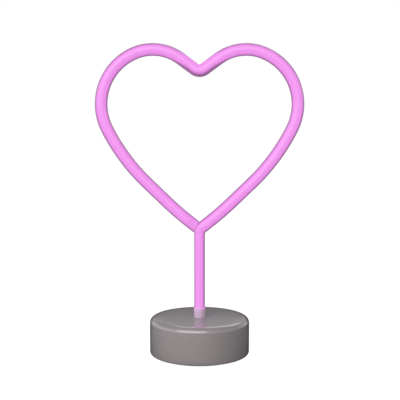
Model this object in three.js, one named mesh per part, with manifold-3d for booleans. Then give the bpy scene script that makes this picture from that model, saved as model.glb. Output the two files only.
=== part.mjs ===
// A heart-shaped neon-style table lamp on a round battery base, in millimetres, +Z up.
// The origin is the centre of the base, on the surface that the lamp stands on.
// The heart lies in the XZ plane and faces -Y. The switch is in the back of the base, on +Y.
import * as THREE from "three";
import { mergeVertices } from "three/addons/utils/BufferGeometryUtils.js";
import Module from "manifold-3d";

const wasm = await Module();
wasm.setup();

// ---------- driving dimensions ----------

// Base: a drum with a rounded top edge, closed below by a plate that lies inside its wall.
// Its radius and height follow from what it holds: the battery bay, and the stem's clamp above that.
const bayMargin = 3.53; // from the bay's corners to the inside of the wall
const bayHeadroom = 1.3; // from the bay's roof to the heads of the clamp's screws
const standoff = 1; // how far the foot pads hold the drum off the table
const drumWall = 3;
const drumRoof = 2.6;
const topFillet = 5;
const bottomFillet = 2.8;
const innerFillet = 2;
const plateThickness = 2.6;
const plateRecess = 0.2; // the plate's face lies this far above the drum's rim
const drumSides = 56;

// Clearances between pieces
const runGap = 0.25; // round a piece that moves
const fitGap = 0.2; // round a piece that is pushed or dropped into place
const faceGap = 0.3; // between two faces that are screwed or pressed together
const contactGap = 0.15; // between a contact, its spring and its cell

// Heart tube: legs that steepen as they rise, long flanks, round cheeks, rounder lobes and a tight notch
const stemRadius = 4.85;
const tubeRadius = 5.6;
const tubeWall = 1.6;
const tubeSides = 14;
const boreSides = 10;
const junctionHeight = 114.4; // where the centrelines of the two legs and the stem meet
const bendRadius = 7;
const rootAngle = 38.5; // of the legs at the junction, above the horizontal, in degrees
const rootLength = 11;
const legRadius = 300;
const legTurn = 5.5;
const flankRadius = 175.4;
const flankTurn = 19.5;
const cheekRadius = 48.8;
const cheekTurn = 95;
const lobeRadius = 41.4;
const lobeTurn = 57.9;
const shoulderLength = 15.2;
const notchRadius = 7.5;
const taperLength = 10; // over which the stem widens into the heart
const degreesPerRing = 8.5;
const lengthPerRing = 12;
const seamGap = 0.3; // between the left leg's end and the bend that it is bonded to
const endPinch = 0.33; // how much thinner the left leg's end is, front to back
const pinchLength = 8;
const pinchInset = 6; // the end keeps one thickness this far from its tip

// Stem collar and the clamp that holds it in the base
const collarWall = 0.35;
const collarGap = 0.1;
const collarRise = 9.5; // above the top of the base
const flangeWidth = 2.7;
const flangeThickness = 1;
const bossWall = 3;
const bossLength = 6.8;
const clampThickness = 1.6;
const clampEnd = 3.7; // past the middle of each screw
const clampScrewReach = 4; // from the boss to the middle of each screw
const postRadius = 2.8;

// Three AA cells side by side, with their axes along X
const cellRadius = 7.1;
const cellLength = 50.4;
const cellGap = 0.6;
const springLength = 5.5;
const contactThickness = 0.4;
const contactSize = 10;
const bayWall = 1.5;
const bayTopGap = 0.3;

// Battery door, which turns on two pins along its left edge
const doorSkin = 0.9;
const doorPanel = 0.9;
const doorOverlap = 2.2; // how far the door's skin reaches past the bay on every side
const barrelRadius = 0.9;
const pinRadius = 0.6;
const pinLength = 1.2;
const tongueWidth = 12;
const tongueLength = 9.5;
const tongueSlit = 1;

// Fasteners and feet
const screwBossRadius = 2.9;
const screwBossGap = 1.7; // to the bay, and to the inside of the wall
const screwRadius = 1.2;
const screwHeadRadius = 2.5;
const screwHeadHeight = 1.2;
const screwLength = 11;
const clampScrewLength = 6.5;
const footInset = 2; // from the inside of the wall
const footWidth = 4;
const footGap = 0.8; // to the door and to the screws
const footThickness = 1.6;

// Timer board and slide switch
const boardHalfWidth = 17;
const boardTop = 27;
const boardInset = 7.8; // from the inside of the wall to the front of the board
const boardThickness = 1.2;
const switchHeight = 17;
const switchWidth = 8.6;
const switchDepth = 3.7;
const switchBodyHeight = 3.8;
const sliderTravel = 4;
const sliderStem = 2.2;
const sliderCapWidth = 3.2;
const sliderCapHeight = 4;
const recessDepth = 1.6;

// LED strip, shaping wire and leads
const ledRise = 2.9; // from the collar to the strip's lower end
const ledPitch = 12.5;
const ledLength = 3;
const stripMargin = 0.9; // in front of the strip, for its LEDs
const stripWireGap = 0.4;
const wireRadius = 0.8;
const wireMargin = 0.3; // behind the wire
const leadRadius = 0.6;

// ---------- heights and sizes that follow ----------

const degrees = Math.PI / 180;

const plateUnder = standoff + plateRecess;
const plateOver = plateUnder + plateThickness;
const doorInside = plateUnder + doorSkin + doorPanel;
const cellPitch = 2 * cellRadius + cellGap;
const cellAxis = doorInside + 0.4 + cellRadius;
const bayInside = cellAxis + cellRadius + bayTopGap;
const bayTop = bayInside + bayWall;
const bayHalfLength =
  (cellLength + springLength) / 2 + contactGap + contactThickness + contactGap;
const bayHalfWidth = cellPitch + cellRadius + 0.5;

const drumInner = Math.hypot(bayHalfLength + bayWall, bayHalfWidth + bayWall) + bayMargin;
const baseRadius = drumInner + drumWall;
const plateRadius = drumInner - fitGap;
const doorHalfLength = bayHalfLength + doorOverlap + 0.7;
const doorHalfWidth = bayHalfWidth + doorOverlap;
const hingeX = barrelRadius - doorHalfLength;
const hingeZ = plateUnder + barrelRadius;

const baseScrewY = bayHalfWidth + bayWall + screwBossRadius + screwBossGap;
const baseScrewCircle = drumInner - screwBossRadius - screwBossGap;
const baseScrewX = Math.sqrt(baseScrewCircle ** 2 - baseScrewY ** 2);
const footOuter = drumInner - footInset;
const footInner = footOuter - footWidth;
const footToDoor = Math.acos((doorHalfLength + runGap + footGap) / footInner);
const footToScrew =
  Math.atan2(baseScrewX, baseScrewY) - Math.asin((screwHeadRadius + 2 * footGap) / baseScrewCircle);
const footHalfAngle = Math.min(footToDoor, footToScrew) / degrees;

const collarInner = stemRadius + collarGap;
const collarOuter = collarInner + collarWall;
const flangeRadius = collarOuter + flangeWidth;
const bossRadius = collarOuter + fitGap + bossWall;
const clampUnder = bayTop + bayHeadroom + screwHeadHeight + 0.1;
const clampTop = clampUnder + clampThickness;
const clampScrewX = bossRadius + clampScrewReach;
const clampHalfLength = clampScrewX + clampEnd;
const clampHalfWidth = bossRadius - 1;
const flangeTop = clampTop + faceGap + flangeThickness;
const bossBottom = flangeTop + faceGap;
const roofUnder = bossBottom + bossLength;
const baseTop = roofUnder + drumRoof;
const tubeBottom = clampUnder;

const ledStart = baseTop + collarRise + ledRise;

const boardBottom = plateOver + faceGap;
const boardFront = drumInner - boardInset;
const boardBack = boardFront + boardThickness;
const boreFlat = (stemRadius - tubeWall) * Math.cos(Math.PI / boreSides); // to the bore's flats
const wireBack = boreFlat - wireMargin - wireRadius;
const stripFront = stripMargin - boreFlat;
const stripWidth = wireBack - wireRadius - stripWireGap - stripFront;

// ---------- solids ----------

// A closed three.js geometry as a manifold solid
function solidOf(geometry) {
  const bare = geometry.clone();
  bare.deleteAttribute("normal");
  bare.deleteAttribute("uv");
  const merged = mergeVertices(bare, 1e-4);
  return new wasm.Manifold(
    new wasm.Mesh({
      numProp: 3,
      vertProperties: merged.attributes.position.array,
      triVerts: new Uint32Array(merged.index.array),
    }),
  );
}

function geometryOf(solid) {
  const mesh = solid.getMesh();
  const geometry = new THREE.BufferGeometry();
  geometry.setAttribute("position", new THREE.BufferAttribute(mesh.vertProperties, 3));
  geometry.setIndex(new THREE.BufferAttribute(mesh.triVerts, 1));
  geometry.computeVertexNormals();
  return geometry;
}

function join(first, ...others) {
  return others.reduce((all, one) => all.add(one), first);
}

function cut(first, ...others) {
  return others.reduce((all, one) => all.subtract(one), first);
}

// A box between two corners
function block(low, high) {
  const size = high.map((value, i) => value - low[i]);
  const geometry = new THREE.BoxGeometry(...size);
  geometry.translate(...low.map((value, i) => value + size[i] / 2));
  return solidOf(geometry);
}

// An upright cylinder
function post(x, y, bottom, top, radius, sides = 16) {
  const geometry = new THREE.CylinderGeometry(radius, radius, top - bottom, sides);
  geometry.rotateX(Math.PI / 2);
  geometry.translate(x, y, (bottom + top) / 2);
  return solidOf(geometry);
}

// A cylinder that lies along Y
function rodAlongY(x, z, from, to, radius, sides = 16) {
  const geometry = new THREE.CylinderGeometry(radius, radius, to - from, sides);
  geometry.translate(x, (from + to) / 2, z);
  return solidOf(geometry);
}

// A cylinder that lies along X
function rodAlongX(y, z, from, to, radius, sides = 12) {
  const geometry = new THREE.CylinderGeometry(radius, radius, to - from, sides);
  geometry.rotateZ(Math.PI / 2);
  geometry.translate((from + to) / 2, y, z);
  return solidOf(geometry);
}

// A profile of [radius, height] points, from the axis up its outside and back to the axis
function turned(profile, sides) {
  const points = profile.map(([radius, height]) => new THREE.Vector2(radius, height));
  const geometry = new THREE.LatheGeometry(points, sides);
  geometry.rotateX(Math.PI / 2);
  return solidOf(geometry);
}

// Points of a quarter-round or shorter arc, for a profile
function arc(cx, cz, radius, from, to, steps) {
  return Array.from({ length: steps + 1 }, (_, i) => {
    const angle = (from + ((to - from) * i) / steps) * degrees;
    return [cx + radius * Math.cos(angle), cz + radius * Math.sin(angle)];
  });
}

// A flat shape in plan, raised from one height to another
function raised(shape, bottom, top, curveSegments = 8) {
  const geometry = new THREE.ExtrudeGeometry(shape, {
    depth: top - bottom,
    bevelEnabled: false,
    curveSegments,
  });
  geometry.translate(0, 0, bottom);
  return solidOf(geometry);
}

// A round wire or lead along a smooth curve through some points
function wireAlong(points, radius, steps, sides = 8) {
  const section = new THREE.Shape();
  section.absarc(0, 0, radius, 0, 2 * Math.PI, false);
  const geometry = new THREE.ExtrudeGeometry(section, {
    extrudePath: new THREE.CatmullRomCurve3(points.map((p) => new THREE.Vector3(...p))),
    steps,
    curveSegments: sides / 2,
    bevelEnabled: false,
  });
  return solidOf(geometry);
}

// ---------- the heart's centreline ----------

// A pen that draws in the XZ plane and leaves a station at every ring of a sweep
class Pen {
  constructor(x, z, heading) {
    Object.assign(this, { x, z, heading, length: 0, stations: [] });
    this.mark();
  }

  mark() {
    const { x, z, heading, length } = this;
    this.stations.push({ x, z, heading, length });
  }

  straight(distance, steps = 1) {
    for (let i = 0; i < steps; i++) {
      this.x += (distance / steps) * Math.cos(this.heading * degrees);
      this.z += (distance / steps) * Math.sin(this.heading * degrees);
      this.length += distance / steps;
      this.mark();
    }
  }

  // A positive angle turns left. A ring falls wherever the path is upright or level.
  turn(radius, angle) {
    const side = Math.sign(angle);
    const quarter = 90 * side * (Math.floor((side * this.heading) / 90 + 1e-6) + 1);
    const first = quarter - this.heading;
    if (Math.abs(first) < Math.abs(angle) - 1e-6) {
      this.turn(radius, first);
      this.turn(radius, angle - first);
      return;
    }
    const arcLength = radius * Math.abs(angle) * degrees;
    const steps = Math.ceil(Math.max(2, Math.abs(angle) / degreesPerRing, arcLength / lengthPerRing));
    const cx = this.x - side * radius * Math.sin(this.heading * degrees);
    const cz = this.z + side * radius * Math.cos(this.heading * degrees);
    for (let i = 0; i < steps; i++) {
      this.heading += angle / steps;
      this.length += arcLength / steps;
      this.x = cx + side * radius * Math.sin(this.heading * degrees);
      this.z = cz - side * radius * Math.cos(this.heading * degrees);
      this.mark();
    }
  }
}

// How far a turn moves the pen along X
function turnRun(radius, from, angle) {
  const side = Math.sign(angle);
  return side * radius * (Math.sin((from + angle) * degrees) - Math.sin(from * degrees));
}

// Each half is a chain of arcs, and a straight piece in each leg closes the heart on its centreline.
const halfTurns = [
  [legRadius, legTurn],
  [flankRadius, flankTurn],
  [cheekRadius, cheekTurn],
  [lobeRadius, lobeTurn],
];
const legAngle = rootAngle + legTurn;
let heading = rootAngle;
let run = rootLength * Math.cos(rootAngle * degrees);
for (const [radius, angle] of halfTurns) {
  run += turnRun(radius, heading, angle);
  heading += angle;
}
const notchAngle = heading - 180;
run -= shoulderLength * Math.cos(notchAngle * degrees);
run -= notchRadius * Math.sin(notchAngle * degrees);
const legStraight = -run / Math.cos(legAngle * degrees);
const bendTurn = 90 - rootAngle;
const bendTangent = bendRadius * Math.tan((bendTurn / 2) * degrees);
const stemLength = junctionHeight - bendTangent - tubeBottom;

function drawHeart() {
  const pen = new Pen(0, tubeBottom, 90);
  pen.straight(stemLength);
  pen.turn(bendRadius, -bendTurn);
  pen.straight(rootLength - bendTangent, 3);
  pen.turn(legRadius, legTurn);
  pen.straight(legStraight);
  pen.turn(flankRadius, flankTurn);
  pen.turn(cheekRadius, cheekTurn);
  pen.turn(lobeRadius, lobeTurn);
  pen.straight(shoulderLength);
  pen.turn(notchRadius, -2 * notchAngle);
  pen.straight(shoulderLength);
  pen.turn(lobeRadius, lobeTurn);
  pen.turn(cheekRadius, cheekTurn);
  pen.turn(flankRadius, flankTurn);
  pen.straight(legStraight);
  pen.turn(legRadius, legTurn);
  pen.straight(rootLength, 5);
  return pen.stations;
}

const stations = drawHeart();
const bendEnd = stemLength + bendRadius * bendTurn * degrees;
const tipLength = stations.at(-1).length;
const plugLength = 4;
const plugEnd = tipLength - Math.max(stemRadius + 5.2, pinchInset + pinchLength + 0.5);

// The stem widens smoothly into the heart along the bend.
function radiusAt(length) {
  const t = THREE.MathUtils.clamp((length - stemLength + 2) / taperLength, 0, 1);
  return THREE.MathUtils.lerp(stemRadius, tubeRadius, t * t * (3 - 2 * t));
}

// The station at any distance along the centreline
function stationAt(length) {
  const next = stations.findIndex((one) => one.length >= length - 1e-6);
  const after = stations[next];
  const before = stations[Math.max(0, next - 1)];
  const span = after.length - before.length;
  const t = span > 0 ? (length - before.length) / span : 0;
  const mix = (key) => THREE.MathUtils.lerp(before[key], after[key], t);
  return { x: mix("x"), z: mix("z"), heading: mix("heading"), length };
}

// The stations from one distance to another
function stretch(from, to) {
  const between = stations.filter((one) => one.length > from + 0.01 && one.length < to - 0.01);
  return [stationAt(from), ...between, stationAt(to)];
}

// Sweeps a closed convex section of [across, back] points.
// Across is in the heart's plane, and back is along +Y.
function swept(path, sectionAt) {
  const rings = path.map((one) => {
    const sideways = [-Math.sin(one.heading * degrees), Math.cos(one.heading * degrees)];
    return sectionAt(one).map(([across, back]) => [
      one.x + across * sideways[0],
      back,
      one.z + across * sideways[1],
    ]);
  });
  const sides = rings[0].length;
  const index = [];
  for (let ring = 0; ring + 1 < rings.length; ring++) {
    for (let i = 0; i < sides; i++) {
      const a = ring * sides + i;
      const b = ring * sides + ((i + 1) % sides);
      index.push(a, b, a + sides, b, b + sides, a + sides);
    }
  }
  const last = (rings.length - 1) * sides;
  for (let i = 1; i + 1 < sides; i++) {
    index.push(0, i + 1, i, last, last + i, last + i + 1);
  }
  const geometry = new THREE.BufferGeometry();
  geometry.setAttribute("position", new THREE.Float32BufferAttribute(rings.flat(2), 3));
  geometry.setIndex(index);
  return solidOf(geometry);
}

function roundSection(radius, back = 0, sides = tubeSides, phase = 0.5) {
  return Array.from({ length: sides }, (_, i) => {
    const angle = (2 * Math.PI * (i + phase)) / sides;
    return [radius * Math.cos(angle), back - radius * Math.sin(angle)];
  });
}

// ---------- the tube and what is in it ----------

// The piece of a solid that is left when the others are offcuts
function largest(solid) {
  return solid.decompose().reduce((best, one) => (one.volume() > best.volume() ? one : best));
}

// Share of the full thickness, front to back, at a distance along the tube
function thicknessAt(length) {
  const t = THREE.MathUtils.clamp(1 - (tipLength - length - pinchInset) / pinchLength, 0, 1);
  return 1 - endPinch * t * t * (3 - 2 * t);
}

// One silicone tube, open at the foot of the stem. The left leg's end is cut to saddle the bend.
function neonTube() {
  const split = tipLength - legStraight - rootLength - 20;
  const sleeve = (from, to, change, sides = tubeSides) =>
    swept(stretch(from, to), (one) => {
      const section = roundSection(radiusAt(one.length) + change, 0, sides, sides === tubeSides ? 0 : 0.5);
      return section.map(([a, back]) => [a, back * thicknessAt(one.length)]);
    });
  const farPart = sleeve(split - 1, tipLength, 0);
  const nearEnd = sleeve(0, bendEnd + 3 * taperLength, seamGap);
  const skin = join(sleeve(0, split, 0), largest(cut(farPart, nearEnd)));
  const boreEnd = plugEnd + fitGap;
  const foot = swept([{ x: 0, z: tubeBottom - 2, heading: 90, length: 0 }, stationAt(1)], (one) =>
    roundSection(radiusAt(one.length) - tubeWall, 0, boreSides),
  );
  return cut(skin, sleeve(0.5, boreEnd, -tubeWall, boreSides), foot);
}

// A flexible strip on edge, so that it follows the curves, with side-view LEDs that face the front
function ledStrip() {
  const from = ledStart - tubeBottom;
  const to = plugEnd - plugLength - 2;
  const half = 0.15;
  const strip = swept(stretch(from, to), () => [
    [-half, stripFront],
    [-half, stripFront + stripWidth],
    [half, stripFront + stripWidth],
    [half, stripFront],
  ]);
  const count = Math.floor((to - from - ledLength) / ledPitch);
  const leds = Array.from({ length: count }, (_, i) => {
    const middle = stationAt(from + ledPitch * (i + 0.5));
    const geometry = new THREE.BoxGeometry(ledLength, 1.2, 1.1);
    geometry.translate(0, stripFront + 0.2, 0.6);
    geometry.rotateY(-middle.heading * degrees);
    geometry.translate(middle.x, 0, middle.z);
    return solidOf(geometry);
  });
  return join(strip, ...leds);
}

function shapingWire() {
  return swept(stretch(0.8, plugEnd - plugLength - 2), () => roundSection(wireRadius, wireBack, 6));
}

// A short silicone plug in the bore of the left leg, above its closed tip
function tubePlug() {
  const radius = tubeRadius - tubeWall - fitGap / 2;
  return swept(stretch(plugEnd - plugLength, plugEnd), () => roundSection(radius, 0, boreSides));
}

// ---------- the stem's collar and clamp ----------

function stemCollar() {
  const top = baseTop + collarRise;
  const bottom = clampUnder;
  return cut(
    turned(
      [
        [0, bottom],
        [collarOuter, bottom],
        [collarOuter, flangeTop - flangeThickness],
        [flangeRadius, flangeTop - flangeThickness],
        [flangeRadius, flangeTop],
        [collarOuter, flangeTop],
        [collarOuter, top - 0.2],
        [collarOuter - 0.15, top],
        [0, top],
      ],
      24,
    ),
    post(0, 0, bottom - 1, top + 1, collarInner, 24),
  );
}

function stemClamp() {
  const outline = new THREE.Shape();
  const straight = clampHalfLength - clampHalfWidth;
  outline.absarc(straight, 0, clampHalfWidth, -Math.PI / 2, Math.PI / 2, false);
  outline.absarc(-straight, 0, clampHalfWidth, Math.PI / 2, (3 * Math.PI) / 2, false);
  return cut(
    raised(outline, clampUnder, clampTop, 10),
    post(0, 0, clampUnder - 1, clampTop + 1, collarOuter + fitGap, 24),
    ...[-1, 1].map((side) =>
      post(side * clampScrewX, 0, clampUnder - 1, clampTop + 1, screwRadius + fitGap),
    ),
  );
}

// ---------- the drum ----------

function baseShell() {
  const outside = turned(
    [
      [0, standoff],
      ...arc(baseRadius - bottomFillet, standoff + bottomFillet, bottomFillet, -90, 0, 3),
      ...arc(baseRadius - topFillet, baseTop - topFillet, topFillet, 0, 90, 4),
      [0, baseTop],
    ],
    drumSides,
  );
  const inside = turned(
    [
      [0, standoff - 1],
      [drumInner, standoff - 1],
      ...arc(drumInner - innerFillet, roofUnder - innerFillet, innerFillet, 0, 90, 3),
      [0, roofUnder],
    ],
    drumSides,
  );
  const bite = roofUnder + 0.5; // where the bosses run into the roof
  const screwPlaces = screwCorners();
  const clampHoleEnd = clampUnder + clampScrewLength + 1;
  const bosses = [
    post(0, 0, bossBottom, bite, bossRadius, 24),
    ...[-1, 1].map((side) => post(side * clampScrewX, 0, bossBottom, bite, postRadius)),
    ...screwPlaces.map(([x, y]) => post(x, y, plateOver + faceGap, bite, screwBossRadius)),
    boardRails(bite),
  ];
  const holes = [
    post(0, 0, bossBottom - 1, baseTop + 1, collarOuter + fitGap, 24),
    ...[-1, 1].map((side) =>
      post(side * clampScrewX, 0, bossBottom - 1, clampHoleEnd, screwRadius + 0.15, 12),
    ),
    ...screwPlaces.map(([x, y]) =>
      post(x, y, plateOver - 1, plateOver + screwLength, screwRadius + 0.15, 12),
    ),
    ...switchOpenings(),
  ];
  return cut(join(cut(outside, inside), ...bosses), ...holes);
}

// Two grooved rails on the back wall, which the timer board slides up into
function boardRails(top) {
  const railFront = boardFront - 1.4;
  const reach = baseRadius - drumWall / 2;
  const rails = [-1, 1].map((side) => {
    const inner = boardHalfWidth - 1.4;
    const outer = boardHalfWidth + 2;
    const xs = [side * inner, side * outer].sort((a, b) => a - b);
    return block([xs[0], railFront, boardBottom], [xs[1], reach, top]);
  });
  const groove = block(
    [-boardHalfWidth - fitGap, boardFront - fitGap, boardBottom - 1],
    [boardHalfWidth + fitGap, boardBack + fitGap, boardTop + fitGap],
  );
  const wallLimit = post(0, 0, boardBottom, top, reach, drumSides);
  return cut(join(...rails), groove).intersect(wallLimit);
}

// A recess in the outside of the wall for the slider's cap, and a slot for its stem
function switchOpenings() {
  const halfCap = (sliderCapWidth + sliderTravel) / 2 + 1.4;
  const halfStem = (sliderStem + sliderTravel) / 2 + runGap;
  const floor = baseRadius - recessDepth;
  const highCap = sliderCapHeight / 2 + 0.8;
  const highStem = sliderStem / 2 + runGap;
  const opening = (half, high, from, to) =>
    block([-half, from, switchHeight - high], [half, to, switchHeight + high]);
  return [
    opening(halfCap, highCap, floor, baseRadius + 2),
    opening(halfStem, highStem, drumInner - 4, floor + 1),
  ];
}

function screwCorners() {
  return [
    [-baseScrewX, -baseScrewY],
    [baseScrewX, -baseScrewY],
    [baseScrewX, baseScrewY],
    [-baseScrewX, baseScrewY],
  ];
}

// A pan-head screw that points up, with a cross recess; head is the height of its head's outer face
function crossScrew(x, y, head, length) {
  const seat = head + screwHeadHeight;
  const shank = post(x, y, seat - 0.2, seat + length, screwRadius, 12);
  const cap = post(x, y, head, seat, screwHeadRadius, 16);
  const arms = [
    [1.5, 0.35],
    [0.35, 1.5],
  ].map(([dx, dy]) => block([x - dx, y - dy, head - 1], [x + dx, y + dy, head + 0.7]));
  return cut(join(cap, shank), ...arms);
}

// ---------- the bottom plate, its battery bay and the door ----------

function bottomPlate() {
  const disc = post(0, 0, plateUnder, plateOver, plateRadius, drumSides);
  const outerX = bayHalfLength + bayWall;
  const outerY = bayHalfWidth + bayWall;
  const bay = block([-outerX, -outerY, plateOver - 0.5], [outerX, outerY, bayTop]);
  const skinX = doorHalfLength + runGap;
  const skinY = doorHalfWidth + runGap;
  const below = plateUnder - 1;
  const ledge = plateUnder + doorSkin + 0.1;
  const groove = barrelRadius + runGap;
  return cut(
    join(disc, bay),
    block([-bayHalfLength, -bayHalfWidth, below], [bayHalfLength, bayHalfWidth, bayInside]),
    block([hingeX, -skinY, below], [skinX, skinY, ledge]),
    rodAlongY(hingeX, hingeZ, -skinY, skinY, groove),
    block([hingeX - groove, -skinY, below], [hingeX, skinY, hingeZ]),
    rodAlongY(hingeX, hingeZ, -skinY - pinLength, skinY + pinLength, pinRadius + runGap, 12),
    fingerNotch(skinX),
    ...screwHoles(),
    ...footPads(plateUnder - 1, plateUnder + footThickness - standoff, fitGap),
    ...tailSlots(),
  );
}

// A shallow scoop beside the door's tongue, for a fingertip
function fingerNotch(edge) {
  return block([edge - 0.5, -5, plateUnder - 1], [edge + 2.6, 5, plateUnder + 1.2]);
}

function screwHoles() {
  const seat = plateUnder + screwHeadHeight + 0.3;
  return screwCorners().flatMap(([x, y]) => [
    post(x, y, plateUnder - 1, plateOver + 1, screwRadius + 0.3, 12),
    post(x, y, plateUnder - 1, seat, screwHeadRadius + 0.3, 16),
  ]);
}

// Curved foot pads on the four sides of the door, grown by a margin when they cut their pockets
function footPads(bottom, top, margin = 0) {
  const inner = footInner - margin;
  const outer = footOuter + margin;
  const half = footHalfAngle * degrees + margin / footOuter;
  return [0, 90, 180, 270].map((middle) => {
    const from = middle * degrees - half;
    const to = middle * degrees + half;
    const shape = new THREE.Shape();
    shape.absarc(0, 0, outer, from, to, false);
    shape.absarc(0, 0, inner, to, from, true);
    return raised(shape, bottom, top, 10);
  });
}

// Slots in the bay's roof for the solder tails of the two end contacts
function tailSlots() {
  return [-1, 1].map((side) => {
    const xs = [side * (bayHalfLength - 1.1), side * bayHalfLength].sort((a, b) => a - b);
    const y = side * cellPitch;
    return block([xs[0], y - 2.2, bayInside - 1], [xs[1], y + 2.2, bayTop + 1]);
  });
}

function batteryDoor() {
  const skinTop = plateUnder + doorSkin;
  const skin = block([hingeX, -doorHalfWidth, plateUnder], [doorHalfLength, doorHalfWidth, skinTop]);
  const barrel = rodAlongY(hingeX, hingeZ, -doorHalfWidth, doorHalfWidth, barrelRadius);
  const pinEnd = doorHalfWidth + pinLength;
  const pins = rodAlongY(hingeX, hingeZ, -pinEnd, pinEnd, pinRadius, 12);
  const panelX = bayHalfLength - 0.7;
  const panelY = bayHalfWidth - 0.5;
  const panel = block([-panelX, -panelY, skinTop - 0.1], [panelX, panelY, doorInside]);
  const slitStart = doorHalfLength - tongueLength;
  const slits = [-1, 1].map((side) => {
    const middle = side * (tongueWidth + tongueSlit) * 0.5;
    return block(
      [slitStart, middle - tongueSlit / 2, plateUnder - 1],
      [doorHalfLength + 1, middle + tongueSlit / 2, doorInside + 1],
    );
  });
  const grips = [2, 4, 6].map((back) =>
    block(
      [doorHalfLength - back - 0.4, -4, plateUnder - 1],
      [doorHalfLength - back + 0.4, 4, plateUnder + 0.35],
    ),
  );
  return cut(join(skin, barrel, pins, panel), ...slits, ...grips);
}

// ---------- cells and contacts ----------

// direction is 1 when the cell's button points to +X
function cell(y, direction) {
  const shoulder = cellLength - 1.2;
  const profile = [
    [0, 0],
    [cellRadius - 0.8, 0],
    [cellRadius, 0.6],
    [cellRadius, shoulder - 0.6],
    [cellRadius - 0.6, shoulder],
    [2.75, shoulder],
    [2.75, cellLength - 0.2],
    [2.3, cellLength],
    [0, cellLength],
  ];
  const start = bayHalfLength - 2 * contactGap - contactThickness - cellLength;
  return turned(profile, 20)
    .rotate([0, direction * 90, 0])
    .translate([direction * start, y, cellAxis]);
}

// A thin plate against an end wall of the bay; side is -1 on the left and 1 on the right
function contactPlate(side, from, to, tail) {
  const outer = bayHalfLength - contactGap;
  const xs = [side * (outer - contactThickness), side * outer].sort((a, b) => a - b);
  const half = contactSize / 2;
  const low = cellAxis - half;
  const plate = block([xs[0], from - half, low], [xs[1], to + half, cellAxis + half]);
  if (!tail) return plate;
  return join(plate, block([xs[0], from - 1.5, low], [xs[1], from + 1.5, bayTop + 2]));
}

// A conical spring from a contact plate to the flat end of a cell
function contactSpring(side, y) {
  const turns = 3;
  const wire = 0.35;
  const start = bayHalfLength - contactGap - contactThickness - contactGap - wire;
  const run = springLength - contactGap - 2 * wire;
  const count = turns * 9;
  const points = Array.from({ length: count + 1 }, (_, i) => {
    const t = i / count;
    const angle = 2 * Math.PI * turns * t;
    const radius = THREE.MathUtils.lerp(4.2, 2.2, t);
    return [
      side * (start - run * t),
      y + radius * Math.cos(angle),
      cellAxis + radius * Math.sin(angle),
    ];
  });
  return wireAlong(points, wire, count, 6);
}

// ---------- timer board and switch ----------

function controlBoard() {
  return block([-boardHalfWidth, boardFront, boardBottom], [boardHalfWidth, boardBack, boardTop]);
}

// A metal case with a slot that the slider's stem reaches into
function switchBody() {
  const front = boardBack + 0.1;
  const back = front + switchDepth;
  const half = switchBodyHeight / 2;
  const halfSlot = (sliderStem + sliderTravel) / 2 + runGap;
  const highSlot = sliderStem / 2 + runGap;
  return cut(
    block(
      [-switchWidth / 2, front, switchHeight - half],
      [switchWidth / 2, back, switchHeight + half],
    ),
    block(
      [-halfSlot, back - 2, switchHeight - highSlot],
      [halfSlot, back + 1, switchHeight + highSlot],
    ),
  );
}

// At rest the slider is at the end of its travel that switches the lamp on.
function switchSlider() {
  const x = -sliderTravel / 2;
  const stemStart = boardBack + 0.1 + switchDepth - 1.6;
  const floor = baseRadius - recessDepth;
  const capEnd = baseRadius - 0.3;
  const box = (width, height, from, to) =>
    block(
      [x - width / 2, from, switchHeight - height / 2],
      [x + width / 2, to, switchHeight + height / 2],
    );
  const grooves = [-0.8, 0, 0.8].map((dx) =>
    block([x + dx - 0.2, capEnd - 0.3, switchHeight - 3], [x + dx + 0.2, capEnd + 1, switchHeight + 3]),
  );
  return cut(
    join(
      box(sliderStem, sliderStem, stemStart, floor + 0.5),
      box(sliderCapWidth, sliderCapHeight, floor + runGap, capEnd),
    ),
    ...grooves,
  );
}

// ---------- leads, routed by hand over the roof of the bay ----------

const tailX = bayHalfLength - contactGap - contactThickness / 2;
const boardFace = boardFront - 0.2;
const routes = {
  battery_lead_red: [
    [tailX + 1.1, cellPitch, bayTop + 1.2],
    [tailX + 2, cellPitch + 4, bayTop + 1.6],
    [tailX - 6, cellPitch + 8.5, bayTop + 2],
    [tailX / 2, boardFace - 6, bayTop + 2.4],
    [12, boardFace - 2.5, bayTop + 2.2],
    [12, boardFace, bayTop + 2.2],
  ],
  battery_lead_black: [
    [-tailX - 1.1, -cellPitch, bayTop + 1.2],
    [-tailX - 2, -cellPitch + 5, bayTop + 1.6],
    [-tailX + 2, 0, bayTop + 1.6],
    [-20, boardFace - 19, bayTop + 1.8],
    [-13, boardFace - 7, bayTop + 2.2],
    [-12, boardFace - 2.5, bayTop + 2.2],
    [-12, boardFace, bayTop + 2.2],
  ],
};

// A lead from the strip's end, down the stem and back to the board
function ledRoute(side) {
  const under = bayTop + 0.9;
  return [
    [side * 0.85, -1, ledStart - 0.4],
    [side * 0.85, -1, ledStart - 8],
    [side * 0.85, -1, tubeBottom + 4],
    [side * 0.85, -0.6, tubeBottom + 1],
    [side * 0.95, 1.2, under + 0.1],
    [side * 1.6, 8, under],
    [side * 4, boardFace - 14, under + 0.6],
    [side * 5, boardFace - 3, under + 1.6],
    [side * 5, boardFace, under + 1.6],
  ];
}

// ---------- materials ----------

const plain = (color, roughness, metalness = 0) =>
  new THREE.MeshStandardMaterial({ color, roughness, metalness });
const materials = {
  base: plain(0x8c8583, 0.45),
  plate: plain(0x7d7775, 0.6),
  glow: plain(0xf39df0, 0.5),
  clear: plain(0xc6b4c4, 0.35),
  rubber: plain(0x2b2a2c, 0.9),
  steel: plain(0xb9bbbf, 0.3, 0.9),
  nickel: plain(0xcfcac0, 0.35, 0.9),
  cell: plain(0x3d6f8e, 0.4, 0.3),
  board: plain(0x1f5a3a, 0.5),
  dark: plain(0x1d1d20, 0.5),
  strip: plain(0xe8e4dc, 0.5),
  red: plain(0xb3262b, 0.5),
};

// ---------- assembly ----------

const lamp = new THREE.Group();
lamp.name = "heart_lamp";

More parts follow.
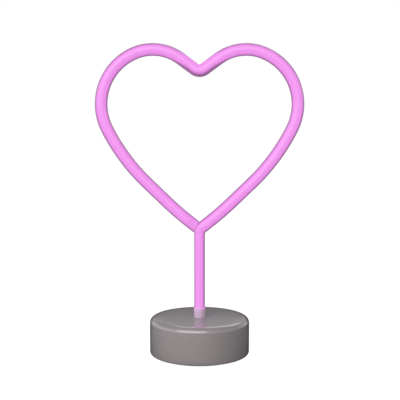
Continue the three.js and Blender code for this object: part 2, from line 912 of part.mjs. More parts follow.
function add(name, solid, material) {
  const mesh = new THREE.Mesh(geometryOf(solid), material);
  mesh.name = name;
  lamp.add(mesh);
}

add("base_shell", baseShell(), materials.base);
add("bottom_plate", bottomPlate(), materials.plate);
add("battery_door", batteryDoor(), materials.plate);
screwCorners().forEach(([x, y], i) => {
  add(`base_screw_${i + 1}`, crossScrew(x, y, plateUnder + 0.15, screwLength), materials.steel);
});
const footNames = ["right", "rear", "left", "front"];
footPads(0, footThickness).forEach((pad, i) => {
  add(`foot_pad_${footNames[i]}`, pad, materials.rubber);
});

add("stem_collar", stemCollar(), materials.clear);
add("stem_clamp", stemClamp(), materials.plate);
["left", "right"].forEach((name, i) => {
  const x = (2 * i - 1) * clampScrewX;
  const head = clampUnder - 0.1 - screwHeadHeight;
  add(`clamp_screw_${name}`, crossScrew(x, 0, head, clampScrewLength), materials.steel);
});

add("neon_tube", neonTube(), materials.glow);
add("tube_plug", tubePlug(), materials.clear);
add("led_strip", ledStrip(), materials.strip);
add("shaping_wire", shapingWire(), materials.steel);

[-1, 0, 1].forEach((row, i) => {
  add(`aa_cell_${i + 1}`, cell(row * cellPitch, row === 0 ? -1 : 1), materials.cell);
  add(`contact_spring_${i + 1}`, contactSpring(row === 0 ? 1 : -1, row * cellPitch), materials.steel);
});
add("contact_negative", contactPlate(-1, -cellPitch, -cellPitch, true), materials.nickel);
add("contact_positive", contactPlate(1, cellPitch, cellPitch, true), materials.nickel);
add("contact_link_left", contactPlate(-1, 0, cellPitch, false), materials.nickel);
add("contact_link_right", contactPlate(1, -cellPitch, 0, false), materials.nickel);

add("control_board", controlBoard(), materials.board);
add("switch_body", switchBody(), materials.steel);
add("switch_slider", switchSlider(), materials.dark);
add("timer_chip", block([4, boardFront - 1.7, 9], [9, boardFront - 0.1, 13]), materials.dark);
add("timer_crystal", rodAlongX(boardFront - 1.15, 9.5, -10, -4, 1, 12), materials.steel);
add("current_resistor", rodAlongX(boardFront - 1.1, 14, -9, -4, 0.9, 12), materials.strip);
add("battery_lead_red", wireAlong(routes.battery_lead_red, leadRadius, 22), materials.red);
add("battery_lead_black", wireAlong(routes.battery_lead_black, leadRadius, 26), materials.dark);
add("led_lead_red", wireAlong(ledRoute(1), leadRadius, 30), materials.red);
add("led_lead_black", wireAlong(ledRoute(-1), leadRadius, 30), materials.dark);

export default lamp;
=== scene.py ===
import math

import bmesh
import bpy
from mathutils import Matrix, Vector
from mathutils.kdtree import KDTree


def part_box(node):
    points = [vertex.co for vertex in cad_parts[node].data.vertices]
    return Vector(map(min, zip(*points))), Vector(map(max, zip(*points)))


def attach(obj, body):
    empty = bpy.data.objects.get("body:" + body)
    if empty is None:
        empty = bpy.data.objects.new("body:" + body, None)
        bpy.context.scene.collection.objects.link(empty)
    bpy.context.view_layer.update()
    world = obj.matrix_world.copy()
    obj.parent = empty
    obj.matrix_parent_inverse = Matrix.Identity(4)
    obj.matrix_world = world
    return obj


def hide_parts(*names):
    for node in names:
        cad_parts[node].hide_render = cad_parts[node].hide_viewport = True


# A heart of glowing silicone tube on a round battery base.
# Sizes are in millimetres until they reach a mesh; what goes into a node is in metres.
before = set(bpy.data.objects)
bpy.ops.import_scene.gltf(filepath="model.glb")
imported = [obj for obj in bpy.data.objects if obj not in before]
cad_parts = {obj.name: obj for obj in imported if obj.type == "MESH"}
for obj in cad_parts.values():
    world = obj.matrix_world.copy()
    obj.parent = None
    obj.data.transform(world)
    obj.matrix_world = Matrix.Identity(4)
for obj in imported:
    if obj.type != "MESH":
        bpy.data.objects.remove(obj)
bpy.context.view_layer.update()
print("frame loaded:", len(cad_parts), "nodes")

mm = 0.001


def meshObject(name, verts, faces, material=None):
    mesh = bpy.data.meshes.new(name)
    mesh.from_pydata([Vector(v) * mm for v in verts], [], faces)
    mesh.validate()
    piece = bpy.data.objects.new(name, mesh)
    bpy.context.scene.collection.objects.link(piece)
    if material:
        mesh.materials.append(material)
    return piece


def smoothed(piece, degrees=32):
    piece.data.shade_smooth()
    piece.data.set_sharp_from_angle(angle=math.radians(degrees))
    return piece


def plainMesh(piece):
    # what the modifiers make becomes the piece's own mesh
    graph = bpy.context.evaluated_depsgraph_get()
    graph.update()
    made = bpy.data.meshes.new_from_object(piece.evaluated_get(graph))
    made.name = piece.name
    if piece.type == "MESH":
        piece.modifiers.clear()
        old, piece.data = piece.data, made
        bpy.data.meshes.remove(old)
        return piece
    name = piece.name
    bpy.data.objects.remove(piece)
    piece = bpy.data.objects.new(name, made)
    bpy.context.scene.collection.objects.link(piece)
    return piece


def turnedMesh(name, profile, steps, material):
    # a closed outline of (radius, height), turned about Z
    count = len(profile)
    verts, faces = [], []
    for i in range(steps):
        a = 2 * math.pi * i / steps
        verts += [(r * math.cos(a), r * math.sin(a), z) for r, z in profile]
    for i in range(steps):
        near, far = i * count, (i + 1) % steps * count
        for j in range(count):
            k = (j + 1) % count
            faces.append((near + j, far + j, far + k, near + k))
    piece = meshObject(name, verts, faces, material)
    tidyMesh(piece)
    return piece


def tidyMesh(piece, merge=0.001):
    work = bmesh.new()
    work.from_mesh(piece.data)
    bmesh.ops.remove_doubles(work, verts=work.verts, dist=merge * mm)
    bmesh.ops.delete(work, geom=[v for v in work.verts if not v.link_faces], context="VERTS")
    bmesh.ops.recalc_face_normals(work, faces=work.faces)
    work.to_mesh(piece.data)
    work.free()


def circleOf(radius, steps, z=0.0):
    turns = [2 * math.pi * i / steps for i in range(steps)]
    return [(radius * math.cos(a), radius * math.sin(a), z) for a in turns]


def roundOf(cx, cz, radius, start, end, steps):
    points = []
    for i in range(steps + 1):
        a = math.radians(start + (end - start) * i / steps)
        points.append((cx + radius * math.cos(a), cz + radius * math.sin(a)))
    return points


def cutWith(piece, low, high):
    # takes a box out of a piece
    size = [h - l for l, h in zip(low, high)]
    corners = [(low[0] + x * size[0], low[1] + y * size[1], low[2] + z * size[2])
               for z in (0, 1) for y in (0, 1) for x in (0, 1)]
    sides = [(0, 2, 3, 1), (4, 5, 7, 6), (0, 1, 5, 4), (2, 6, 7, 3), (0, 4, 6, 2), (1, 3, 7, 5)]
    tool = meshObject("cutter", corners, sides)
    cut = piece.modifiers.new("cut", "BOOLEAN")
    cut.operation, cut.solver, cut.object = "DIFFERENCE", "EXACT", tool
    plainMesh(piece)
    bpy.data.objects.remove(tool)


def softened(nodeName, pieceName, material, width=0.2, segments=2, angle=35):
    # a CAD part with its doubles merged, its flat faces joined up and its edges rounded
    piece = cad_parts[nodeName].copy()
    piece.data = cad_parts[nodeName].data.copy()
    piece.name = piece.data.name = pieceName
    piece.parent = None
    piece.data.transform(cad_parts[nodeName].matrix_world)
    piece.matrix_world.identity()
    bpy.context.scene.collection.objects.link(piece)
    piece.data.materials.clear()
    piece.data.materials.append(material)
    work = bmesh.new()
    work.from_mesh(piece.data)
    bmesh.ops.remove_doubles(work, verts=work.verts, dist=0.004 * mm)
    bmesh.ops.dissolve_limit(work, angle_limit=math.radians(1.0), verts=work.verts, edges=work.edges)
    bmesh.ops.recalc_face_normals(work, faces=work.faces)
    for face in work.faces:
        face.material_index = 0
    work.to_mesh(piece.data)
    work.free()
    bevel = piece.modifiers.new("rounded edges", "BEVEL")
    bevel.width, bevel.segments = width * mm, segments
    bevel.limit_method, bevel.angle_limit = "ANGLE", math.radians(angle)
    bevel.use_clamp_overlap = True
    plainMesh(piece)
    return smoothed(piece, 40)


def addNode(tree, kind, links=None, **values):
    # values set a node's own settings, links set or join its inputs
    node = tree.nodes.new(kind)
    for key, value in values.items():
        setattr(node, key, value)
    for key, value in (links or {}).items():
        socket = node.inputs[key]
        if isinstance(value, bpy.types.NodeSocket):
            tree.links.new(value, socket)
        else:
            socket.default_value = value
    return node


def newTree(name, kind, inputs, outputs):
    tree = bpy.data.node_groups.new(name, kind)
    for label, socket, value in inputs:
        made = tree.interface.new_socket(label, in_out="INPUT", socket_type=socket)
        if value is not None:
            made.default_value = value
    for label, socket in outputs:
        tree.interface.new_socket(label, in_out="OUTPUT", socket_type=socket)
    return tree, tree.nodes.new("NodeGroupInput").outputs, tree.nodes.new("NodeGroupOutput").inputs


def geometryTree(name, inputs):
    shape = [("Geometry", "NodeSocketGeometry", None)]
    return newTree(name, "GeometryNodeTree", shape + inputs, [("Geometry", "NodeSocketGeometry")])


def sizeSockets(sizes):
    sockets = [(name, "NodeSocketFloat", size) for name, size in sizes.items()]
    return sockets + [("Material", "NodeSocketMaterial", None)]


def grown(piece, tree, sizes):
    # runs a geometry tree on a piece, with its inputs set by identifier, and keeps the mesh
    nodes = piece.modifiers.new(tree.name, "NODES")
    nodes.node_group = tree
    for item in tree.interface.items_tree:
        if item.item_type == "SOCKET" and item.in_out == "INPUT" and item.name in sizes:
            nodes[item.identifier] = sizes[item.name]
    return plainMesh(piece)


def mathNode(tree, operation, *values):
    return addNode(tree, "ShaderNodeMath", dict(enumerate(values)), operation=operation).outputs[0]


def ramp(tree, value, low, high, start=0.0, end=1.0, smooth=False):
    links = {"Value": value, "From Min": low, "From Max": high, "To Min": start, "To Max": end}
    kind = "SMOOTHSTEP" if smooth else "LINEAR"
    return addNode(tree, "ShaderNodeMapRange", links, interpolation_type=kind).outputs[0]


def mixed(tree, factor, a, b):
    links = {"Factor": factor, "A": a, "B": b}
    return addNode(tree, "ShaderNodeMix", links, data_type="RGBA").outputs["Result"]


def noise(tree, scale, detail):
    place = addNode(tree, "ShaderNodeTexCoord").outputs["Object"]
    links = {"Vector": place, "Scale": scale, "Detail": detail}
    return addNode(tree, "ShaderNodeTexNoise", links).outputs["Fac"]


def finishTree(tree, geometry, material, result):
    # every geometry tree ends in real meshes with their material
    real = addNode(tree, "GeometryNodeRealizeInstances", {"Geometry": geometry})
    painted = addNode(tree, "GeometryNodeSetMaterial",
                      {"Geometry": real.outputs["Geometry"], "Material": material})
    tree.links.new(painted.outputs["Geometry"], result["Geometry"])
    return tree


finishLook = {
    "dustColor": (0.62, 0.6, 0.58, 1),
    "dustScale": 260.0,
    "dustPatch": (0.42, 0.75),     # noise between which the dust thickens
    "dustSlope": (0.6, 1.0),       # how far up a surface has to face
    "wearScale": 420.0,
    "wearEdge": (0.52, 0.6),       # pointiness between which an edge wears
    "wornLift": 0.03,
    "dustRough": 0.5,
    "plastic": {"mottle": 0.018, "wornGain": 1.35, "spread": (-0.03, 0.05)},
    "metal": {"mottle": 0.004, "wornGain": 1.15, "spread": (-0.06, 0.1)},
}


def buildGrainGroup():
    # fine moulded grain: a height, and a slow mottle for colour and roughness
    tree, given, result = newTree(
        "mouldedGrain", "ShaderNodeTree",
        [("Grain Size", "NodeSocketFloat", 0.0004), ("Mottle Size", "NodeSocketFloat", 0.02)],
        [("Height", "NodeSocketFloat"), ("Mottle", "NodeSocketFloat")])
    for size, detail, value in (("Grain Size", 3.0, "Height"), ("Mottle Size", 4.0, "Mottle")):
        scale = mathNode(tree, "DIVIDE", 1.0, given[size])
        tree.links.new(noise(tree, scale, detail), result[value])
    return tree


def buildDustGroup():
    # a trace of dust where a surface faces up
    tree, given, result = newTree(
        "settledDust", "ShaderNodeTree",
        [("Color", "NodeSocketColor", (0.5, 0.5, 0.5, 1)), ("Amount", "NodeSocketFloat", 0.1)],
        [("Color", "NodeSocketColor"), ("Mask", "NodeSocketFloat")])
    normal = addNode(tree, "ShaderNodeTexCoord").outputs["Normal"]
    up = addNode(tree, "ShaderNodeSeparateXYZ", {0: normal}).outputs["Z"]
    patchy = ramp(tree, noise(tree, finishLook["dustScale"], 6.0), *finishLook["dustPatch"])
    mask = mathNode(tree, "MULTIPLY", ramp(tree, up, *finishLook["dustSlope"]), patchy)
    mask = mathNode(tree, "MULTIPLY", mask, given["Amount"])
    tree.links.new(mixed(tree, mask, given["Color"], finishLook["dustColor"]), result["Color"])
    tree.links.new(mask, result["Mask"])
    return tree


def buildWearGroup():
    # edges rubbed lighter
    tree, given, result = newTree(
        "rubbedEdges", "ShaderNodeTree",
        [("Color", "NodeSocketColor", (0.5, 0.5, 0.5, 1)), ("Worn", "NodeSocketColor", (0.7, 0.7, 0.7, 1)),
         ("Amount", "NodeSocketFloat", 0.3)],
        [("Color", "NodeSocketColor"), ("Mask", "NodeSocketFloat")])
    point = addNode(tree, "ShaderNodeNewGeometry").outputs["Pointiness"]
    edge = ramp(tree, point, *finishLook["wearEdge"])
    mask = mathNode(tree, "MULTIPLY", edge, noise(tree, finishLook["wearScale"], 4.0))
    mask = mathNode(tree, "MULTIPLY", mask, given["Amount"])
    tree.links.new(mixed(tree, mask, given["Color"], given["Worn"]), result["Color"])
    tree.links.new(mask, result["Mask"])
    return tree


grainGroup = buildGrainGroup()
dustGroup = buildDustGroup()
wearGroup = buildWearGroup()


def newMaterial(name, roughness=0.5, metallic=0.0, **fixed):
    # a material with only its shader and output; fixed values go on the shader's own sockets
    material = bpy.data.materials.new(name)
    material.use_nodes = True
    shader = material.node_tree.nodes["Principled BSDF"]
    shader.inputs["Roughness"].default_value = roughness
    shader.inputs["Metallic"].default_value = metallic
    for socket, value in fixed.items():
        shader.inputs[socket.replace("_", " ")].default_value = value
    return material, material.node_tree, shader


def placeGroup(tree, group, links):
    return addNode(tree, "ShaderNodeGroup", links, node_tree=group).outputs


def addBump(tree, shader, height, distance, strength=1.0):
    bump = addNode(tree, "ShaderNodeBump", {"Height": height, "Distance": distance, "Strength": strength})
    tree.links.new(bump.outputs["Normal"], shader.inputs["Normal"])


def mottledSkin(tree, look, light, dark, roughness, grain, wear):
    # a colour with rubbed edges, a roughness that wanders, and the height of the grain
    texture = placeGroup(tree, grainGroup, {"Grain Size": grain, "Mottle Size": look["mottle"]})
    worn = [min(1.0, c * look["wornGain"] + finishLook["wornLift"]) for c in light]
    tint = mixed(tree, texture["Mottle"], (*dark, 1), (*light, 1))
    edges = placeGroup(tree, wearGroup, {"Color": tint, "Worn": (*worn, 1), "Amount": wear})
    less, more = look["spread"]
    rough = ramp(tree, texture["Mottle"], 0.0, 1.0, roughness + less, roughness + more)
    return edges["Color"], rough, texture["Height"]


def mouldedPlastic(name, light, dark, roughness, grain=0.0004, depth=0.00002, dust=0.0, wear=0.15, **fixed):
    material, tree, shader = newMaterial(name, roughness, **fixed)
    color, rough, height = mottledSkin(tree, finishLook["plastic"], light, dark, roughness, grain, wear)
    dusty = placeGroup(tree, dustGroup, {"Color": color, "Amount": dust})
    tree.links.new(dusty["Color"], shader.inputs["Base Color"])
    rougher = mathNode(tree, "MULTIPLY_ADD", dusty["Mask"], finishLook["dustRough"], rough)
    tree.links.new(rougher, shader.inputs["Roughness"])
    addBump(tree, shader, height, depth)
    return material


def drawnMetal(name, light, dark, roughness, grain=0.00025, depth=0.000008, wear=0.4):
    material, tree, shader = newMaterial(name, roughness, 1.0)
    color, rough, height = mottledSkin(tree, finishLook["metal"], light, dark, roughness, grain, wear)
    tree.links.new(color, shader.inputs["Base Color"])
    tree.links.new(rough, shader.inputs["Roughness"])
    addBump(tree, shader, height, depth)
    return material


basePlastic = mouldedPlastic("warmGreySatin", (0.274, 0.249, 0.243), (0.253, 0.229, 0.224), 0.34,
                             grain=0.0003, depth=0.000006, dust=0.03, wear=0.0,
                             Coat_Weight=0.9, Coat_Roughness=0.07)
platePlastic = mouldedPlastic("warmGreyTexture", (0.19, 0.174, 0.17), (0.165, 0.15, 0.146), 0.52,
                              grain=0.0005, depth=0.00003, wear=0.25)
blackPlastic = mouldedPlastic("blackMatt", (0.032, 0.031, 0.033), (0.022, 0.021, 0.023), 0.48, wear=0.3)
padRubber = mouldedPlastic("footRubber", (0.045, 0.044, 0.046), (0.028, 0.027, 0.029), 0.82,
                           grain=0.0007, depth=0.00008, wear=0.35)
redInsulation = mouldedPlastic("redInsulation", (0.5, 0.035, 0.03), (0.42, 0.025, 0.022), 0.42, wear=0.1)
whiteFilm = mouldedPlastic("whiteFilm", (0.8, 0.78, 0.72), (0.72, 0.7, 0.64), 0.45, wear=0.1)
boardMask = mouldedPlastic("boardMask", (0.02, 0.2, 0.085), (0.012, 0.14, 0.06), 0.3,
                           grain=0.0009, depth=0.00002, wear=0.3)
screwSteel = drawnMetal("zincSteel", (0.62, 0.63, 0.66), (0.46, 0.47, 0.5), 0.3)
wireSteel = drawnMetal("springSteel", (0.58, 0.58, 0.6), (0.42, 0.42, 0.44), 0.26)
contactNickel = drawnMetal("contactNickel", (0.72, 0.69, 0.61), (0.58, 0.55, 0.48), 0.24)
print("shared finishes built")


tubeSizes = {
    "stemRadius": 4.85,
    "tubeRadius": 5.6,
    "junctionHeight": 114.4,
    "bendRadius": 7.0,
    "rootAngle": 38.5,
    "rootLength": 11.0,
    "halfTurns": [(300.0, 5.5), (175.4, 19.5), (48.8, 95.0), (41.4, 57.9)],  # leg, flank, cheek, lobe
    "shoulderLength": 15.2,
    "notchRadius": 7.5,
    "taperLength": 10.0,      # from the stem's radius to the tube's
    "taperLead": 2.0,
    "ringStep": 1.6,
    "sides": 44,
    "endGap": 0.42,           # between the left leg's end and the bend
    "endPinch": 0.5,          # how much thinner the left leg's end is, front to back
    "pinchLength": 8.0,
    "pinchInset": 6.0,
    "pinchReach": 1.2,        # in tube radii, to the side
    "joinReach": 75.0,        # the two sweeps meet this far before the left leg's end
    "ringReach": 8.0,
    "toolReach": 45.0,        # how far past the bend the trimming sweep runs
    "notchReach": 0.9,
    "lean": 0.1,              # how far the lit side leans into the heart
    "notchLean": -0.4,
    "notchBlend": (0.008, 0.03),
}

glowLook = {
    "color": (0.648, 0.192, 0.635, 1),
    "bodyDark": (0.21, 0.1, 0.2, 1),
    "bodyLight": (0.24, 0.116, 0.226, 1),
    "front": (0.4, 0.84),     # facing between which the glow rises to its full strength
    "sideShare": 0.27,
    "back": (-0.3, -0.85),    # and between which some of it comes back behind
    "backShare": 0.22,
    "litFrom": 43.5,          # height where the glow begins
    "litBlend": (5.0, 1.5),
    "ledPitch": 12.5,
    "ledRipple": 0.025,
    "cloudScale": 60.0,
    "cloudDepth": 0.08,
}


def heartPath(sizes, startHeight):
    # stations [x, z, heading, distance] from the foot of the stem to the end of the left leg
    x, z, heading, run = 0.0, startHeight, 90.0, 0.0
    stations = [(x, z, heading, run)]

    def straight(length):
        nonlocal x, z, run
        steps = max(1, round(length / sizes["ringStep"]))
        for _ in range(steps):
            x += length / steps * math.cos(math.radians(heading))
            z += length / steps * math.sin(math.radians(heading))
            run += length / steps
            stations.append((x, z, heading, run))

    def turn(radius, angle):
        nonlocal x, z, heading, run
        arc = radius * math.radians(abs(angle))
        steps = max(4, round(arc / sizes["ringStep"]), round(abs(angle) / 5))
        side = 1 if angle > 0 else -1
        cx = x - side * radius * math.sin(math.radians(heading))
        cz = z + side * radius * math.cos(math.radians(heading))
        for _ in range(steps):
            heading += angle / steps
            run += arc / steps
            x = cx + side * radius * math.sin(math.radians(heading))
            z = cz - side * radius * math.cos(math.radians(heading))
            stations.append((x, z, heading, run))

    angle, across = sizes["rootAngle"], sizes["rootLength"] * math.cos(math.radians(sizes["rootAngle"]))
    for radius, by in sizes["halfTurns"]:
        across += radius * (math.sin(math.radians(angle + by)) - math.sin(math.radians(angle)))
        angle += by
    notch = angle - 180
    across -= sizes["shoulderLength"] * math.cos(math.radians(notch))
    across -= sizes["notchRadius"] * math.sin(math.radians(notch))
    legTurn = sizes["halfTurns"][0]
    legStraight = -across / math.cos(math.radians(sizes["rootAngle"] + legTurn[1]))
    bendTurn = 90 - sizes["rootAngle"]
    tangent = sizes["bendRadius"] * math.tan(math.radians(bendTurn / 2))
    straight(sizes["junctionHeight"] - tangent - startHeight)
    bendStart = run
    turn(sizes["bendRadius"], -bendTurn)
    straight(sizes["rootLength"] - tangent)
    turn(*legTurn)
    straight(legStraight)
    for radius, by in sizes["halfTurns"][1:]:
        turn(radius, by)
    straight(sizes["shoulderLength"])
    turn(sizes["notchRadius"], -2 * notch)
    straight(sizes["shoulderLength"])
    for radius, by in reversed(sizes["halfTurns"][1:]):
        turn(radius, by)
    straight(legStraight)
    turn(*legTurn)
    straight(sizes["rootLength"])
    return stations, bendStart


def buildSweepTree():
    # a tube along a curve, as wide as the curve's own radius, with its distance and its facing kept
    tree, given, result = geometryTree("tubeAlongPath", [
        ("Sides", "NodeSocketInt", 24), ("Start", "NodeSocketFloat", 0.0), ("Lean", "NodeSocketFloat", 0.0),
        ("Notch Lean", "NodeSocketFloat", 0.0), ("Notch At", "NodeSocketFloat", 0.3),
        ("Material", "NodeSocketMaterial", None)])

    def stored(geometry, name, value, kind="FLOAT"):
        links = {"Geometry": geometry, "Name": name, "Value": value}
        return addNode(tree, "GeometryNodeStoreNamedAttribute", links, data_type=kind,
                       domain="POINT").outputs["Geometry"]

    def named(name, kind="FLOAT"):
        return addNode(tree, "GeometryNodeInputNamedAttribute", {"Name": name},
                       data_type=kind).outputs["Attribute"]

    def vector(operation, links, output="Vector"):
        return addNode(tree, "ShaderNodeVectorMath", links, operation=operation).outputs[output]

    run = addNode(tree, "GeometryNodeSplineParameter").outputs["Length"]
    marked = stored(given["Geometry"], "alongTube", mathNode(tree, "ADD", run, given["Start"]))
    tangent = addNode(tree, "GeometryNodeInputTangent").outputs[0]
    left = vector("CROSS_PRODUCT", {0: tangent, 1: (0, 1, 0)})
    sided = stored(marked, "inward", left, "FLOAT_VECTOR")
    ring = addNode(tree, "GeometryNodeCurvePrimitiveCircle", {"Resolution": given["Sides"], "Radius": 1.0})
    radius = addNode(tree, "GeometryNodeInputRadius").outputs[0]
    swept = addNode(tree, "GeometryNodeCurveToMesh",
                    {"Curve": sided, "Profile Curve": ring.outputs["Curve"], "Scale": radius,
                     "Fill Caps": True})
    apart = mathNode(tree, "ABSOLUTE", mathNode(tree, "SUBTRACT", named("alongTube"), given["Notch At"]))
    leaning = ramp(tree, apart, *tubeSizes["notchBlend"], given["Notch Lean"], given["Lean"], smooth=True)
    lean = vector("SCALE", {0: named("inward", "FLOAT_VECTOR"), "Scale": leaning})
    aim = vector("NORMALIZE", {0: vector("ADD", {0: lean, 1: (0, -1, 0)})})
    normal = addNode(tree, "GeometryNodeInputNormal").outputs[0]
    facing = vector("DOT_PRODUCT", {0: normal, 1: aim}, "Value")
    shown = stored(swept.outputs["Mesh"], "facesFront", facing)
    return finishTree(tree, shown, given["Material"], result)


def pathCurve(name, stations, radiusAt):
    data = bpy.data.curves.new(name, "CURVE")
    data.dimensions = "3D"
    spline = data.splines.new("POLY")
    spline.points.add(len(stations) - 1)
    for point, (x, z, _, run) in zip(spline.points, stations):
        point.co = (x * mm, 0, z * mm, 1)
        point.radius = radiusAt(run) * mm
    curve = bpy.data.objects.new(name, data)
    bpy.context.scene.collection.objects.link(curve)
    return curve


def glowingSilicone(look, footHeight):
    # lit from inside by a strip that faces the front, so the tube is brightest on that side
    material, tree, shader = newMaterial("glowingSilicone", 0.38, IOR=1.41, Sheen_Weight=0.15,
                                         Sheen_Roughness=0.4)
    facing = addNode(tree, "ShaderNodeAttribute", attribute_name="facesFront").outputs["Fac"]
    along = addNode(tree, "ShaderNodeAttribute", attribute_name="alongTube").outputs["Fac"]
    front = ramp(tree, facing, *look["front"], look["sideShare"], 1.0, smooth=True)
    behind = ramp(tree, facing, *look["back"], 0.0, look["backShare"], smooth=True)
    shining = mathNode(tree, "ADD", front, behind)
    start = (look["litFrom"] - footHeight) * mm
    before, after = [length * mm for length in look["litBlend"]]
    lit = ramp(tree, along, start - before, start + after, smooth=True)
    wave = mathNode(tree, "COSINE", mathNode(tree, "MULTIPLY", along, 2 * math.pi / (look["ledPitch"] * mm)))
    spots = mathNode(tree, "MULTIPLY_ADD", wave, look["ledRipple"], 1.0)
    cloud = noise(tree, look["cloudScale"], 2.0)
    uneven = mathNode(tree, "MULTIPLY_ADD", cloud, look["cloudDepth"], 1.0 - look["cloudDepth"] / 2)
    level = mathNode(tree, "MULTIPLY", mathNode(tree, "MULTIPLY", shining, lit),
                     mathNode(tree, "MULTIPLY", spots, uneven))
    tree.links.new(mixed(tree, level, (0, 0, 0, 1), look["color"]), shader.inputs["Emission Color"])
    shader.inputs["Emission Strength"].default_value = 1.0
    texture = placeGroup(tree, grainGroup, {"Grain Size": 0.0006, "Mottle Size": 0.03})
    body = mixed(tree, texture["Mottle"], look["bodyDark"], look["bodyLight"])
    tree.links.new(body, shader.inputs["Base Color"])
    addBump(tree, shader, texture["Height"], 0.000012)
    return material


def placeAndWay(station):
    x, z, heading, _ = station
    way = math.radians(heading)
    return Vector((x, 0, z)) * mm, Vector((math.cos(way), 0, math.sin(way)))


def pinchEnd(piece, stations, sizes):
    # the last stretch of the left leg gets thinner front to back, so the bend stands proud of it
    tip, direction = placeAndWay(stations[-1])
    reach = sizes["tubeRadius"] * sizes["pinchReach"]
    for v in piece.data.vertices:
        back = (tip - v.co).dot(direction) / mm
        aside = ((tip - v.co) - direction * (tip - v.co).dot(direction)).length / mm
        if -0.01 < back < sizes["pinchLength"] + sizes["pinchInset"] and aside < reach:
            t = min(1.0, max(0.0, 1 - (back - sizes["pinchInset"]) / sizes["pinchLength"]))
            v.co.y *= 1 - sizes["endPinch"] * t * t * (3 - 2 * t)


def cutBySweep(piece, tool):
    # trims the piece where the tool passes, keeps its largest part, and takes its values over again
    tree = KDTree(len(piece.data.vertices))
    for v in piece.data.vertices:
        tree.insert(v.co, v.index)
    tree.balance()
    names = ("alongTube", "facesFront")
    before = {n: [d.value for d in piece.data.attributes[n].data] for n in names}
    cut = piece.modifiers.new("cut", "BOOLEAN")
    cut.operation, cut.solver, cut.object = "DIFFERENCE", "EXACT", tool
    plainMesh(piece)
    bpy.data.objects.remove(tool)
    work = bmesh.new()
    work.from_mesh(piece.data)
    left, islands = set(work.verts), []
    while left:
        island, edge = set(), [left.pop()]
        while edge:
            v = edge.pop()
            island.add(v)
            for e in v.link_edges:
                w = e.other_vert(v)
                if w in left:
                    left.discard(w)
                    edge.append(w)
        islands.append(island)
    islands.sort(key=len)
    bmesh.ops.delete(work, geom=[v for island in islands[:-1] for v in island], context="VERTS")
    work.to_mesh(piece.data)
    work.free()
    for n in names:
        if n not in piece.data.attributes:
            piece.data.attributes.new(n, "FLOAT", "POINT")
        for v, d in zip(piece.data.vertices, piece.data.attributes[n].data):
            d.value = before[n][tree.find(v.co)[1]]


def joinedAt(first, second, station):
    # one closed skin from two sweeps that share a ring
    centre, ahead = placeAndWay(station)
    with bpy.context.temp_override(active_object=first, selected_editable_objects=[first, second]):
        bpy.ops.object.join()
    work = bmesh.new()
    work.from_mesh(first.data)
    caps = [f for f in work.faces if len(f.verts) > 8 and (f.calc_center_median() - centre).length < 0.5 * mm]
    bmesh.ops.delete(work, geom=caps, context="FACES_ONLY")
    near = [v for v in work.verts if (v.co - centre).length < tubeSizes["ringReach"] * mm]
    bmesh.ops.remove_doubles(work, verts=near, dist=0.01 * mm)
    # the caps had tilted the ring's normals, so its facing comes from the rings beside it
    facing = work.verts.layers.float["facesFront"]
    near = [v for v in work.verts if (v.co - centre).length < tubeSizes["ringReach"] * mm]
    ring = {v for v in near if abs((v.co - centre).dot(ahead)) < 0.05 * mm}
    for v in ring:
        beside = [e.other_vert(v) for e in v.link_edges if e.other_vert(v) not in ring]
        v[facing] = sum(w[facing] for w in beside) / len(beside)
    work.to_mesh(first.data)
    work.free()
    return first


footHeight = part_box("neon_tube")[0][2] / mm
stations, bendStart = heartPath(tubeSizes, footHeight)


def radiusOnPath(run):
    t = min(1.0, max(0.0, (run - bendStart + tubeSizes["taperLead"]) / tubeSizes["taperLength"]))
    return tubeSizes["stemRadius"] + (tubeSizes["tubeRadius"] - tubeSizes["stemRadius"]) * t * t * (3 - 2 * t)


onMiddleLine = [s for s in stations if abs(s[0]) < tubeSizes["notchReach"]]
notchAt = max(onMiddleLine, key=lambda s: s[1])[3]
siliconeGlow = glowingSilicone(glowLook, footHeight)
sweepTree = buildSweepTree()


def sweptTube(name, first, last, extra=0.0):
    part = stations[first:last]
    start = part[0][3]
    curve = pathCurve(name, part, lambda run: radiusOnPath(run) + extra)
    return grown(curve, sweepTree, {
        "Sides": tubeSizes["sides"], "Lean": tubeSizes["lean"], "Notch Lean": tubeSizes["notchLean"],
        "Notch At": notchAt * mm, "Start": start * mm, "Material": siliconeGlow})


# the left leg's end is trimmed where the bend passes it, which leaves a fine seam
pathEnd = stations[-1][3]
splitAt = next(i for i in range(1, len(stations) - 1) if stations[i][3] > pathEnd - tubeSizes["joinReach"]
               and abs(stations[i + 1][2] - stations[i - 1][2]) < 1e-9)
nearLast = next(i for i, s in enumerate(stations) if s[3] > bendStart + tubeSizes["toolReach"])
heartTube = sweptTube("heartTube", 0, splitAt + 1)
farLeg = sweptTube("farLeg", splitAt, len(stations))
pinchEnd(farLeg, stations, tubeSizes)
cutBySweep(farLeg, sweptTube("bendTool", 0, nearLast, tubeSizes["endGap"]))
heartTube = joinedAt(heartTube, farLeg, stations[splitAt])
smoothed(heartTube, 50)
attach(heartTube, "lamp")
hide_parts("neon_tube")
print("heart tube:", len(heartTube.data.polygons), "faces")


collarSizes = {
    "inner": 4.95,
    "outer": 5.3,
    "flange": 8.0,
    "flangeTop": 24.9,
    "flangeThickness": 1.0,
    "flangeRound": 0.2,
    "outerRound": 0.16,
    "innerRound": 0.1,
    "steps": 96,
}

collarLook = {
    "dark": (0.48, 0.37, 0.46, 1),
    "light": (0.53, 0.41, 0.51, 1),
    # painted glow: the height band where the collar's emission rises, and its faint and full colours
    "glowBetween": (0.0395, 0.0445),
    "glowLow": (0.05, 0.025, 0.05, 1),
    "glowHigh": (0.3, 0.06, 0.3, 1),
}


